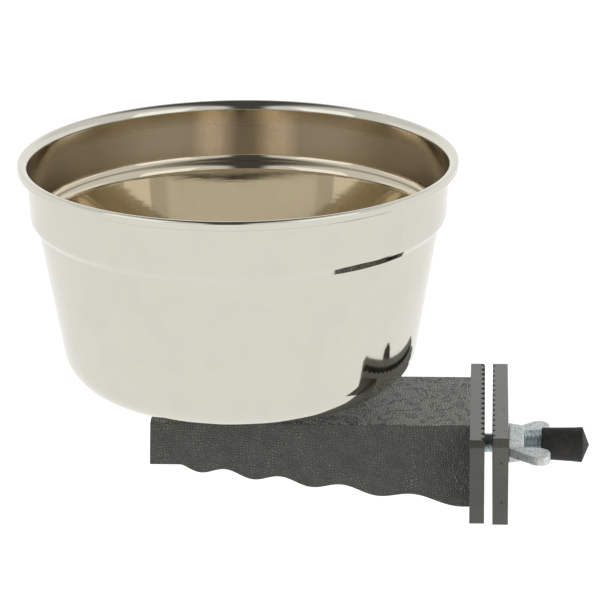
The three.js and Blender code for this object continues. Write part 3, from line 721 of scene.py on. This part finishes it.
# The inside's colour is a painted warm reflection.
inside_steel = polished_steel("mirror_steel_inside_painted_warm", INSIDE_PAINTED_WARM_REFLECTION, rough=0.04,
                              lines_depth=0.0006 * MM, mottle_size=9 * MM)
dress(bowl, "bowl", "polished_steel", "bowl", outside_steel, satin_steel(), inside_steel)
face_centre = face_values(bowl_mesh, "center") - np.array(middle)
face_radius = np.hypot(face_centre[:, 0], face_centre[:, 1])
facing = face_values(bowl_mesh, "normal")
outward = np.sum(facing[:, :2] * face_centre[:, :2], axis=1) / np.maximum(face_radius, 1e-9)
collar_inside = ((outward < -0.9) & (face_centre[:, 2] > SATIN_FOOT)
                 & (face_radius < COLLAR_TOP) & (face_centre[:, 2] < BOWL_HEIGHT - RIM_INNER_ROUND))
pot_inside = ((outward < 0.2) & (facing[:, 2] > -0.2) & (face_centre[:, 2] <= SATIN_FOOT)
              & (face_radius < COLLAR_TOP))
finish_index = np.where(collar_inside, 1, np.where(pot_inside, 2, 0))
bowl_mesh.polygons.foreach_set("material_index", finish_index)

# Studio: a pale floor a hand's breadth under the hanging bowl, a white room that mirrors as white,
# and a soft box on each side of the camera, with a dark strip between them that the steel mirrors.
CAMERA_AZIMUTH = np.radians(3.034)
CAMERA_ELEVATION = np.radians(18.44)
CAMERA_ROLL = np.radians(-0.463)
CAMERA_DISTANCE = 1.2
CAMERA_LENS = 215.04
LOOK_AT = Vector((-62.1488, 0, 50.3181)) * MM
STRIP_SHIFT = 0.03
STRIP_CORE = 0.06
STRIP_EDGES = (0.28, 0.7)
STRIP_WIDENS = (0.6, 0.95)
STRIP_BEHIND = (0.42, 0.87)
STRIP_LEVEL = 0.09
WALL_LEVEL = 0.8
WALLS_BEHIND = (0.35, 0.6)
FRONT_BEGINS = (-0.1, 0.1)
HORIZON = (-0.03, 0.0)
LIGHT_LEVELS = (0.6, 1.0)
BOX_AZIMUTH = 50
BOX_ELEVATION = np.radians(22)
BOX_DISTANCE = 1.2
BOX_WIDTH = 0.7
BOX_HEIGHT = 0.9
BOX_POWER = 0.95
FLOOR_GLOW = 0.5
FLOOR_DROP = 75 * MM
FLOOR_SIZE = 6.0


def make_camera():
    """The view along the camera's own axes: back leads from the object to the camera, right is level,
    and up is across both; roll then turns right and up about back."""
    sin_a, cos_a = np.sin(CAMERA_AZIMUTH), np.cos(CAMERA_AZIMUTH)
    sin_e, cos_e = np.sin(CAMERA_ELEVATION), np.cos(CAMERA_ELEVATION)
    back = Vector((sin_a * cos_e, -cos_a * cos_e, sin_e))
    right = Vector((cos_a, sin_a, 0))
    up = back.cross(right)
    turned_right = np.cos(CAMERA_ROLL) * right + np.sin(CAMERA_ROLL) * up
    turned_up = back.cross(turned_right)
    camera = bpy.data.objects.new("camera", bpy.data.cameras.new("camera"))
    camera.data.lens = CAMERA_LENS
    camera.data.clip_end = 20
    turn = Matrix((turned_right, turned_up, back)).transposed().to_4x4()
    camera.matrix_world = Matrix.Translation(LOOK_AT + CAMERA_DISTANCE * back) @ turn
    bpy.context.scene.collection.objects.link(camera)
    bpy.context.scene.camera = camera


def make_world():
    """The room, by direction alone. A pair of values says where a change begins and ends, as parts
    along an axis of a direction one long. Where the room is seen it is white. Mirrors show pale
    walls, a white backdrop low behind, and a dark strip that rises between the soft boxes, widens
    overhead and comes half way down behind. To everything else it is an even light, stronger from
    the front."""
    world = bpy.data.worlds.new("white_room")
    world.use_nodes = True
    room = Nodes(world.node_tree)
    background = room.nodes["Background"]
    background.inputs["Color"].default_value = (1, 1, 1, 1)
    toward = room.nodes.new("ShaderNodeTexCoord").outputs["Generated"]
    path = room.nodes.new("ShaderNodeLightPath").outputs

    def along(axis):
        return room.vector_maths("DOT_PRODUCT", toward, axis, output="Value")

    def eased(value, limits, first=0.0, last=1.0):
        return room.span(value, *limits, first, last, "SMOOTHSTEP")

    front, height = along((0, -1, 0)), along((0, 0, 1))
    side = room.maths("ABSOLUTE", room.maths("ADD", along((1, 0, 0)), STRIP_SHIFT))
    in_front = eased(front, FRONT_BEGINS)
    strip = eased(side, (STRIP_CORE, eased(height, STRIP_WIDENS, *STRIP_EDGES)), 1.0, 0.0)
    reach = room.maths("MAXIMUM", in_front, eased(height, STRIP_BEHIND))
    dark = room.maths("MULTIPLY", room.maths("MULTIPLY", strip, reach), eased(height, HORIZON))
    walls = room.maths("MAXIMUM", in_front, eased(height, WALLS_BEHIND))
    wall_level = eased(walls, (0.0, 1.0), 1.0, WALL_LEVEL)
    mirrored = room.maths("MULTIPLY", wall_level, eased(dark, (0.0, 1.0), 1.0, STRIP_LEVEL))
    shade = room.span(path["Is Glossy Ray"], 0.0, 1.0, 1.0, mirrored)
    light = room.span(front, -1.0, 1.0, *LIGHT_LEVELS)
    shown = room.maths("MAXIMUM", path["Is Camera Ray"], path["Is Glossy Ray"])
    shown = room.maths("MAXIMUM", shown, path["Is Transmission Ray"])
    level = room.span(shown, 0.0, 1.0, light, 1.0)
    room.plug(background.inputs["Strength"], room.maths("MULTIPLY", level, shade))
    bpy.context.scene.world = world


def make_floor():
    """A pale floor: it takes the object's shadow, and shows as white to the camera and in mirrors. The
    camera sees through it from below."""
    half = FLOOR_SIZE / 2
    floor_z = cad_box[0].z - FLOOR_DROP
    corners = [(x * half, y * half, floor_z) for x, y in ((-1, -1), (1, -1), (1, 1), (-1, 1))]
    mesh = bpy.data.meshes.new("floor")
    mesh.from_pydata(corners, [], [(0, 1, 2, 3)])
    floor = new_piece("floor", mesh)
    finish = Finish("floor_paint", Base_Color=(0.8, 0.8, 0.8, 1), Roughness=0.9)
    path = finish.nodes.new("ShaderNodeLightPath").outputs
    mirrored = finish.add("Emission", "Emission")
    paint = finish.shader.outputs["BSDF"]
    lit = finish.add("MixShader", "Shader", values=(path["Is Glossy Ray"], paint, mirrored))
    under = finish.add("NewGeometry", "Backfacing")
    from_below = finish.maths("MULTIPLY", under, path["Is Camera Ray"])
    clear = finish.add("BsdfTransparent", "BSDF")
    surface = finish.add("MixShader", "Shader", values=(from_below, lit, clear))
    finish.plug(finish.nodes["Material Output"].inputs["Surface"], surface)
    finish.wear(Emission_Color=(1, 1, 1, 1))
    glow = finish.maths("MULTIPLY", path["Is Camera Ray"], FLOOR_GLOW)
    finish.plug(finish.shader.inputs["Emission Strength"], glow)
    floor.data.materials.append(finish.material)


def soft_box(name, azimuth):
    """A soft box beside the camera: azimuth is degrees to the right of straight in front."""
    light = bpy.data.lights.new(name, "AREA")
    light.shape = "RECTANGLE"
    light.size, light.size_y = BOX_WIDTH, BOX_HEIGHT
    light.energy = BOX_POWER
    turn = np.radians(azimuth)
    level = np.cos(BOX_ELEVATION)
    back = Vector((np.sin(turn) * level, -np.cos(turn) * level, np.sin(BOX_ELEVATION)))
    lamp = bpy.data.objects.new(name, light)
    lamp.location = bowl_centre + BOX_DISTANCE * back
    lamp.rotation_euler = (-back).to_track_quat("-Z", "Y").to_euler()
    bpy.context.scene.collection.objects.link(lamp)


make_camera()
make_world()
make_floor()
soft_box("left_soft_box", -BOX_AZIMUTH)
soft_box("right_soft_box", BOX_AZIMUTH)

bpy.context.scene.view_settings.view_transform = "Standard"
